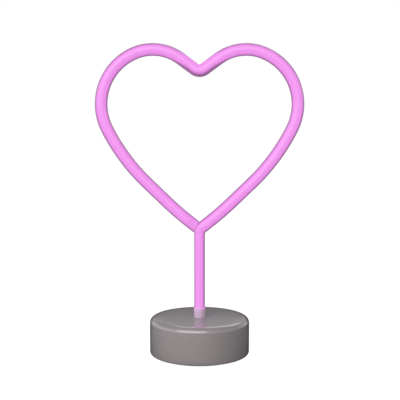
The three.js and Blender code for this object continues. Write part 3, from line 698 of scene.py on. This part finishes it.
def frostedClear(look):
    # a clear plastic with a painted glow towards its top, standing in for the tube's light inside it
    material, tree, shader = newMaterial("frostedClear", 0.4, IOR=1.46, Transmission_Weight=0.2)
    texture = placeGroup(tree, grainGroup, {"Grain Size": 0.0005, "Mottle Size": 0.006})
    tint = mixed(tree, texture["Mottle"], look["dark"], look["light"])
    tree.links.new(tint, shader.inputs["Base Color"])
    place = addNode(tree, "ShaderNodeTexCoord").outputs["Object"]
    height = addNode(tree, "ShaderNodeSeparateXYZ", {0: place}).outputs["Z"]
    lit = ramp(tree, height, *look["glowBetween"], smooth=True)
    glow = mixed(tree, lit, look["glowLow"], look["glowHigh"])
    tree.links.new(glow, shader.inputs["Emission Color"])
    shader.inputs["Emission Strength"].default_value = 1.0
    addBump(tree, shader, texture["Height"], 0.00001)
    return material


def collarProfile(sizes, bottom, top):
    inner, outer, flangeTop = sizes["inner"], sizes["outer"], sizes["flangeTop"]
    edge, soft, hard = sizes["flangeRound"], sizes["outerRound"], sizes["innerRound"]
    under = flangeTop - sizes["flangeThickness"]
    return [
        (inner, bottom),
        (outer, bottom),
        (outer, under),
        *roundOf(sizes["flange"] - edge, under + edge, edge, -90, 0, 3),
        *roundOf(sizes["flange"] - edge, flangeTop - edge, edge, 0, 90, 3),
        (outer, flangeTop),
        *roundOf(outer - soft, top - soft, soft, 0, 90, 4),
        *roundOf(inner + hard, top - hard, hard, 90, 180, 3),
    ]


collarLow, collarHigh = [corner[2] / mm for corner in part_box("stem_collar")]
collarOutline = collarProfile(collarSizes, collarLow, collarHigh)
collarMaterial = frostedClear(collarLook)
stemCollar = smoothed(turnedMesh("stemCollar", collarOutline, collarSizes["steps"], collarMaterial))
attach(stemCollar, "lamp")
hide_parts("stem_collar")
print("collar turned")


drumSizes = {
    "topRound": 5.0,
    "bottomRound": 2.8,
    "roofRound": 2.0,              # inside, between wall and roof
    "wall": 3.0,
    "roof": 2.6,
    "holeRadius": 5.5,
    "holeChamfer": 0.25,
    "flatInner": 8.0,              # where the last ring of the flat top lies
    "bossRadius": 8.5,
    "bossBottom": 25.2,
    "steps": 192,
    "recess": (5.0, 2.8, 1.6),     # half width, half height, depth
    "slot": (3.35, 1.35),          # half width, half height
    "switchHeight": 17.0,
    "cutReach": (4.0, 2.0),        # how far the cutters run inside and outside the wall
}

drumLow, drumHigh = [[c / mm for c in corner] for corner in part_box("base_shell")]
outer, bottom, top = drumHigh[0], drumLow[2], drumHigh[2]
inner = outer - drumSizes["wall"]
roofUnder = top - drumSizes["roof"]
topRound, bottomRound = drumSizes["topRound"], drumSizes["bottomRound"]
roofRound = drumSizes["roofRound"]
hole, chamfer = drumSizes["holeRadius"], drumSizes["holeChamfer"]
boss, bossBottom = drumSizes["bossRadius"], drumSizes["bossBottom"]
straightSide = top - bottom - topRound - bottomRound
flatTop = outer - topRound - drumSizes["flatInner"]
drumProfile = [
    (inner, bottom),
    *roundOf(outer - bottomRound, bottom + bottomRound, bottomRound, -90, 0, 8),
    *[(outer, bottom + bottomRound + straightSide * i / 8) for i in range(1, 8)],
    *roundOf(outer - topRound, top - topRound, topRound, 0, 90, 14),
    *[(outer - topRound - flatTop * i / 6, top) for i in range(1, 7)],
    (hole + chamfer, top),
    (hole, top - chamfer),
    (hole, bossBottom),
    (boss, bossBottom),
    (boss, roofUnder),
    *roundOf(inner - roofRound, roofUnder - roofRound, roofRound, 90, 0, 4),
]
baseDrum = turnedMesh("baseDrum", drumProfile, drumSizes["steps"], basePlastic)
halfWide, halfHigh, depth = drumSizes["recess"]
slotWide, slotHigh = drumSizes["slot"]
mid = drumSizes["switchHeight"]
inside, outside = drumSizes["cutReach"]
cutWith(baseDrum, (-halfWide, outer - depth, mid - halfHigh), (halfWide, outer + outside, mid + halfHigh))
cutWith(baseDrum, (-slotWide, inner - inside, mid - slotHigh), (slotWide, outer, mid + slotHigh))
smoothed(baseDrum, 34)
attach(baseDrum, "lamp")
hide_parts("base_shell")
print("base drum:", len(baseDrum.data.polygons), "faces")


underPlate = softened("bottom_plate", "underPlate", platePlastic, 0.18)
doorPanel = softened("battery_door", "doorPanel", platePlastic, 0.16)
switchCap = softened("switch_slider", "switchCap", blackPlastic, 0.1)
for piece, body, node, slot in [
    (underPlate, "lamp", "bottom_plate", "bottom_plastic"),
    (doorPanel, "battery_door", "battery_door", "bottom_plastic"),
    (switchCap, "switch_slider", "switch_slider", "black_plastic"),
]:
    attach(piece, body)
    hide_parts(node)
print("plate, door and switch cap softened")


# Four curved pads, a quarter turn apart
padSizes = {"Width": 0.004, "Thickness": 0.0016, "Corner": 0.0004}
padEndAngle = 0.004      # stops the arc a little short of the CAD pad's end
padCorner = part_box("foot_pad_right")[1]
padSizes["Middle Radius"] = padCorner[0] - padSizes["Width"] / 2
padSizes["Half Angle"] = math.asin(padCorner[1] / padCorner[0]) - padEndAngle


def buildPadTree():
    tree, given, result = geometryTree("curvedPads", sizeSockets(padSizes))
    sweep = mathNode(tree, "MULTIPLY", given["Half Angle"], 2.0)
    start = mathNode(tree, "MULTIPLY", given["Half Angle"], -1.0)
    arc = addNode(tree, "GeometryNodeCurveArc",
                  {"Resolution": 33, "Radius": given["Middle Radius"], "Start Angle": start,
                   "Sweep Angle": sweep})
    section = addNode(tree, "GeometryNodeCurvePrimitiveQuadrilateral",
                      {"Width": given["Width"], "Height": given["Thickness"]})
    rounded = addNode(tree, "GeometryNodeFilletCurve",
                      {"Curve": section.outputs["Curve"], "Radius": given["Corner"]})
    rounded.mode = "POLY"
    rounded.inputs["Count"].default_value = 3
    pad = addNode(tree, "GeometryNodeCurveToMesh",
                  {"Curve": arc.outputs["Curve"], "Profile Curve": rounded.outputs["Curve"],
                   "Scale": 1.0, "Fill Caps": True})
    lift = addNode(tree, "ShaderNodeCombineXYZ", {"Z": mathNode(tree, "MULTIPLY", given["Thickness"], 0.5)})
    raised = addNode(tree, "GeometryNodeTransform",
                     {"Geometry": pad.outputs["Mesh"], "Translation": lift.outputs[0]})
    spots = addNode(tree, "GeometryNodeMeshLine", {"Count": 4, "Offset": (0, 0, 0)})
    index = addNode(tree, "GeometryNodeInputIndex").outputs[0]
    turn = addNode(tree, "ShaderNodeCombineXYZ", {"Z": mathNode(tree, "MULTIPLY", index, math.pi / 2)})
    four = addNode(tree, "GeometryNodeInstanceOnPoints",
                   {"Points": spots.outputs["Mesh"], "Instance": raised.outputs["Geometry"],
                    "Rotation": turn.outputs[0]})
    return finishTree(tree, four.outputs["Instances"], given["Material"], result)


footPads = meshObject("footPads", [(0, 0, 0)], [], padRubber)
footPads = grown(footPads, buildPadTree(), {**padSizes, "Material": padRubber})
tidyMesh(footPads)
smoothed(footPads, 50)
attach(footPads, "lamp")
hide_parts("foot_pad_right", "foot_pad_rear", "foot_pad_left", "foot_pad_front")
print("foot pads made")


# Pan-head screws with a cross recess
screwSizes = {
    "Head Radius": 0.0025,
    "Head Height": 0.0012,
    "Brim Share": 0.45,
    "Brim Radius Share": 0.8,
    "Arm Length": 0.003,
    "Arm Width": 0.0007,
    "Arm Depth": 0.0007,
    "Shank Radius": 0.0012,
    "Shank Length": 0.011,
    "Shank Sink": 0.49,      # a little under half, so that the shank's end stays in the head
    "Turn": 0.5,             # between one screw and the next
}


def buildScrewTree():
    tree, given, result = geometryTree("crossScrews", sizeSockets(screwSizes))

    def times(a, b):
        return mathNode(tree, "MULTIPLY", a, b)

    def lifted(geometry, height):
        shift = addNode(tree, "ShaderNodeCombineXYZ", {"Z": height})
        return addNode(tree, "GeometryNodeTransform",
                       {"Geometry": geometry, "Translation": shift.outputs[0]}).outputs["Geometry"]

    def cylinder(sides, radius, length):
        return addNode(tree, "GeometryNodeMeshCylinder",
                       {"Vertices": sides, "Radius": radius, "Depth": length}).outputs["Mesh"]

    def union(parts):
        node = addNode(tree, "GeometryNodeMeshBoolean", operation="UNION", solver="EXACT")
        for part in parts:
            tree.links.new(part, node.inputs["Mesh 2"])
        return node.outputs["Mesh"]

    height, radius = given["Head Height"], given["Head Radius"]
    low = times(height, given["Brim Share"])
    high = mathNode(tree, "SUBTRACT", height, low)
    brim = times(radius, given["Brim Radius Share"])
    dome = addNode(tree, "GeometryNodeMeshCone",
                   {"Vertices": 32, "Radius Bottom": brim, "Radius Top": radius, "Depth": low})
    rim = lifted(cylinder(32, radius, high), mathNode(tree, "MULTIPLY_ADD", high, 0.5, low))
    shankMiddle = mathNode(tree, "MULTIPLY_ADD", given["Shank Length"], given["Shank Sink"], height)
    shank = lifted(cylinder(20, given["Shank Radius"], given["Shank Length"]), shankMiddle)
    arms = []
    for longAxis, shortAxis in (("X", "Y"), ("Y", "X")):
        size = addNode(tree, "ShaderNodeCombineXYZ",
                       {longAxis: given["Arm Length"], shortAxis: given["Arm Width"],
                        "Z": times(given["Arm Depth"], 2.0)})
        arms.append(addNode(tree, "GeometryNodeMeshCube", {"Size": size.outputs[0]}).outputs["Mesh"])
    cut = addNode(tree, "GeometryNodeMeshBoolean",
                  {"Mesh 1": union([dome.outputs["Mesh"], rim, shank]), "Mesh 2": union(arms)},
                  operation="DIFFERENCE", solver="EXACT")
    index = addNode(tree, "GeometryNodeInputIndex").outputs[0]
    turn = addNode(tree, "ShaderNodeCombineXYZ", {"Z": times(index, given["Turn"])})
    placed = addNode(tree, "GeometryNodeInstanceOnPoints",
                     {"Points": given["Geometry"], "Instance": cut.outputs["Mesh"],
                      "Rotation": turn.outputs[0]})
    return finishTree(tree, placed.outputs["Instances"], given["Material"], result)


screwNodes = [f"base_screw_{i}" for i in range(1, 5)]
heads = []
for node in screwNodes:
    low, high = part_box(node)
    heads.append(((low[0] + high[0]) / 2 / mm, (low[1] + high[1]) / 2 / mm, low[2] / mm))
baseScrews = meshObject("baseScrews", heads, [], screwSteel)
baseScrews = grown(baseScrews, buildScrewTree(), {**screwSizes, "Material": screwSteel})
tidyMesh(baseScrews, 0.003)
smoothed(baseScrews, 30)
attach(baseScrews, "lamp")
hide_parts(*screwNodes)
print("base screws:", len(baseScrews.data.polygons), "faces")


cellSizes = {
    "radius": 7.1,
    "length": 50.4,
    "steps": 64,
    "flatEnd": [(0.0, 0.25), (4.4, 0.25), (4.7, 0.0), (5.9, 0.0), (6.2, 0.2)],
    "crimp": (0.5, 0.7, 0.6),      # its rounding, and how far in it lies at either end
    "shoulder": 1.2,               # how far the button stands above the body
    "nearButton": [(6.25, 0.1), (6.1, 0.35), (3.1, 0.35), (2.8, 0.1)],
    "button": (2.75, 0.35),
    "turnedRound": "aa_cell_2",
}

cellLook = {
    "main": (0.035, 0.13, 0.2, 1),
    "band": (0.5, 0.52, 0.54, 1),
    "bandFrom": (0.0372, 0.0374),      # distance from the flat end
    "bareDark": (0.5, 0.5, 0.52, 1),
    "bareLight": (0.62, 0.62, 0.64, 1),
    "skinFrom": (0.0062, 0.0063),      # distance from the axis
}


def cellJacket(look):
    # a plain two-tone jacket between bare steel ends, by distance along the cell
    material, tree, shader = newMaterial("cellJacket", 0.26, Coat_Weight=0.35, Coat_Roughness=0.12)
    along = addNode(tree, "ShaderNodeAttribute", attribute_name="alongCell").outputs["Fac"]
    out = addNode(tree, "ShaderNodeAttribute", attribute_name="fromAxis").outputs["Fac"]
    texture = placeGroup(tree, grainGroup, {"Grain Size": 0.0006, "Mottle Size": 0.01})
    tone = mixed(tree, ramp(tree, along, *look["bandFrom"]), look["main"], look["band"])
    bare = mixed(tree, texture["Mottle"], look["bareDark"], look["bareLight"])
    skin = ramp(tree, out, *look["skinFrom"])
    tree.links.new(mixed(tree, skin, bare, tone), shader.inputs["Base Color"])
    tree.links.new(mathNode(tree, "SUBTRACT", 1.0, skin), shader.inputs["Metallic"])
    addBump(tree, shader, texture["Height"], 0.000006)
    return material


def cellMesh(name, node, material):
    low, high = [[c / mm for c in corner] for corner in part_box(node)]
    radius, length = cellSizes["radius"], cellSizes["length"]
    shoulder = length - cellSizes["shoulder"]
    crimp, crimpLow, crimpHigh = cellSizes["crimp"]
    button, buttonRound = cellSizes["button"]
    profile = [*cellSizes["flatEnd"],
               *roundOf(radius - crimp, crimpLow, crimp, -90, 0, 4),
               *roundOf(radius - crimp, shoulder - crimpHigh, crimp, 0, 90, 4),
               *[(r, shoulder - drop) for r, drop in cellSizes["nearButton"]],
               *roundOf(button - buttonRound, length - buttonRound, buttonRound, 0, 90, 3),
               (0.0, length)]
    steps, count = cellSizes["steps"], len(profile)
    centreY, centreZ = (low[1] + high[1]) / 2, (low[2] + high[2]) / 2
    towards = -1 if node == cellSizes["turnedRound"] else 1
    origin = low[0] if towards > 0 else high[0]
    verts, faces = [], []
    for i in range(steps):
        a = 2 * math.pi * i / steps
        near, far = i * count, (i + 1) % steps * count
        verts += [(origin + towards * h, centreY + r * math.cos(a), centreZ + r * math.sin(a))
                  for r, h in profile]
        faces += [(near + j, far + j, far + j + 1, near + j + 1) for j in range(count - 1)]
    piece = meshObject(name, verts, faces, material)
    tidyMesh(piece)
    along = piece.data.attributes.new("alongCell", "FLOAT", "POINT")
    out = piece.data.attributes.new("fromAxis", "FLOAT", "POINT")
    for v, a, b in zip(piece.data.vertices, along.data, out.data):
        a.value = abs(v.co.x - origin * mm)
        b.value = math.hypot(v.co.y - centreY * mm, v.co.z - centreZ * mm)
    return smoothed(piece, 34)


jacket = cellJacket(cellLook)
for i in (1, 2, 3):
    cell = cellMesh(f"cell{i}", f"aa_cell_{i}", jacket)
    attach(cell, "lamp")
    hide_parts(f"aa_cell_{i}")
print("cells made")


kept = {
    "stem_clamp": platePlastic,
    "clamp_screw_left": screwSteel,
    "clamp_screw_right": screwSteel,
    "tube_plug": whiteFilm,
    "led_strip": whiteFilm,
    "shaping_wire": wireSteel,
    "contact_spring_1": wireSteel,
    "contact_spring_2": wireSteel,
    "contact_spring_3": wireSteel,
    "contact_negative": contactNickel,
    "contact_positive": contactNickel,
    "contact_link_left": contactNickel,
    "contact_link_right": contactNickel,
    "control_board": boardMask,
    "switch_body": screwSteel,
    "timer_chip": blackPlastic,
    "timer_crystal": screwSteel,
    "current_resistor": whiteFilm,
    "battery_lead_red": redInsulation,
    "battery_lead_black": blackPlastic,
    "led_lead_red": redInsulation,
    "led_lead_black": blackPlastic,
}
for node, material in kept.items():
    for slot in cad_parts[node].material_slots:
        slot.material = material
print("kept parts finished:", len(kept))


roomSizes = {
    "left": 1.5, "right": 0.72, "backSides": 1.1,
    "behindLow": 0.0, "behindHigh": 0.46, "horizon": (0.2275, 0.2315),
    "above": 0.08, "below": 0.4, "lowShare": 0.1,
    # how far the light's direction leans where one part of the room passes into the next
    "sidesFrom": (0.1, 0.35), "behindFrom": (0.72, 0.9), "aboveFrom": (0.3, 0.6),
    "lowFrom": (-0.1, 0.02), "belowFrom": (-0.35, -0.65),
    "tint": (0.98, 0.96, 1.04, 1),
}
floorSizes = {
    "steps": 64, "reach": 4000.0, "color": (0.15, 0.15, 0.15, 1), "glow": 0.98,
    "shadeRing": (45.5, 75.0), "shadeHeight": -0.2, "shadeColor": (0.02, 0.02, 0.02, 1),
}
panels = {
    "keyPanel": {"place": (-0.5, -1.5, 0.95), "size": (2.2, 1.2), "power": 30.8},
    "backPanel": {"place": (0.4, 1.4, 1.5), "size": (1.6, 1.0), "power": 10.0},
}
panelAim = Vector((0, 0, 0.12))


def clearFromBelow(tree, shader):
    clear = addNode(tree, "ShaderNodeBsdfTransparent")
    below = addNode(tree, "ShaderNodeNewGeometry").outputs["Backfacing"]
    seen = addNode(tree, "ShaderNodeMixShader", {0: below, 1: shader.outputs[0], 2: clear.outputs[0]})
    tree.links.new(seen.outputs[0], tree.nodes["Material Output"].inputs["Surface"])


def buildFloor(sizes):
    # a pale floor that only the camera sees
    material, tree, shader = newMaterial("paleFloor", 0.7)
    shader.inputs["Base Color"].default_value = sizes["color"]
    shader.inputs["Emission Color"].default_value = (1, 1, 1, 1)
    shader.inputs["Emission Strength"].default_value = sizes["glow"]
    clearFromBelow(tree, shader)
    rim = circleOf(sizes["reach"], sizes["steps"])
    floor = meshObject("floor", rim, [list(range(sizes["steps"]))], material)
    floor.visible_diffuse = floor.visible_glossy = floor.visible_shadow = False
    floor.visible_transmission = False


def buildFootShade(sizes):
    # the table's own shade, a ring round the foot: dark to everything but the camera, and clear from below
    steps = sizes["steps"]
    inner, outer = [circleOf(reach, steps, sizes["shadeHeight"]) for reach in sizes["shadeRing"]]
    faces = [(i, steps + i, steps + (i + 1) % steps, (i + 1) % steps) for i in range(steps)]
    material, tree, shader = newMaterial("footShade", 1.0, Specular_IOR_Level=0.0)
    shader.inputs["Base Color"].default_value = sizes["shadeColor"]
    clearFromBelow(tree, shader)
    shade = meshObject("footShade", inner + outer, faces, material)
    shade.visible_camera = shade.visible_shadow = False


def buildWorld(room):
    # white where the camera looks; the light itself is a soft room, darker low down and straight behind
    world = bpy.data.worlds.new("studio")
    world.use_nodes = True
    tree = world.node_tree
    tree.nodes.clear()
    direction = addNode(tree, "ShaderNodeTexCoord").outputs["Generated"]
    parts = addNode(tree, "ShaderNodeSeparateXYZ", {0: direction}).outputs

    def share(axis, low, high, start=0.0, end=1.0):
        return ramp(tree, parts[axis], low, high, start, end, smooth=True)

    def blend(factor, a, b):
        links = {"Factor": factor, "A": a, "B": b}
        return addNode(tree, "ShaderNodeMix", links, data_type="FLOAT").outputs["Result"]

    front = share("X", -1.0, 1.0, room["left"], room["right"])
    horizon = share("Z", *room["horizon"], room["behindLow"], room["behindHigh"])
    ring = blend(share("Y", *room["sidesFrom"]), front, room["backSides"])
    middle = blend(share("Y", *room["behindFrom"]), ring, horizon)
    upper = blend(share("Z", *room["aboveFrom"]), middle, room["above"])
    lower = mathNode(tree, "MULTIPLY", upper, share("Z", *room["lowFrom"], room["lowShare"], 1.0))
    level = blend(share("Z", *room["belowFrom"]), lower, room["below"])
    dome = addNode(tree, "ShaderNodeBackground", {"Color": room["tint"], "Strength": level})
    white = addNode(tree, "ShaderNodeBackground", {"Color": (1, 1, 1, 1), "Strength": 1.0})
    seen = addNode(tree, "ShaderNodeLightPath").outputs["Is Camera Ray"]
    mix = addNode(tree, "ShaderNodeMixShader", {0: seen, 1: dome.outputs[0], 2: white.outputs[0]})
    addNode(tree, "ShaderNodeOutputWorld", {"Surface": mix.outputs[0]})
    bpy.context.scene.world = world


def addPanel(name, place, size, power):
    data = bpy.data.lights.new(name, "AREA")
    data.shape, data.size, data.size_y, data.energy = "RECTANGLE", size[0], size[1], power
    panel = bpy.data.objects.new(name, data)
    panel.location = place
    panel.rotation_euler = (panelAim - Vector(place)).to_track_quat("-Z", "Y").to_euler()
    panel.visible_camera = False
    bpy.context.scene.collection.objects.link(panel)


buildFloor(floorSizes)
buildFootShade(floorSizes)
buildWorld(roomSizes)
for name, sizes in panels.items():
    addPanel(name, **sizes)

cameraSizes = {"place": (0.0004, -0.760, 0.21339), "pitch": 0.095, "lens": 76.6}
lens = bpy.data.cameras.new("camera")
lens.sensor_width, lens.lens = 36.0, cameraSizes["lens"]
lens.clip_start, lens.clip_end = 0.01, 50.0
camera = bpy.data.objects.new("camera", lens)
camera.location = cameraSizes["place"]
camera.rotation_euler = (math.pi / 2 - cameraSizes["pitch"], 0, 0)
bpy.context.scene.collection.objects.link(camera)
bpy.context.scene.camera = camera
bpy.context.scene.view_settings.view_transform = "Standard"
bpy.context.scene.view_settings.look = "None"
print("stage, light and camera set")
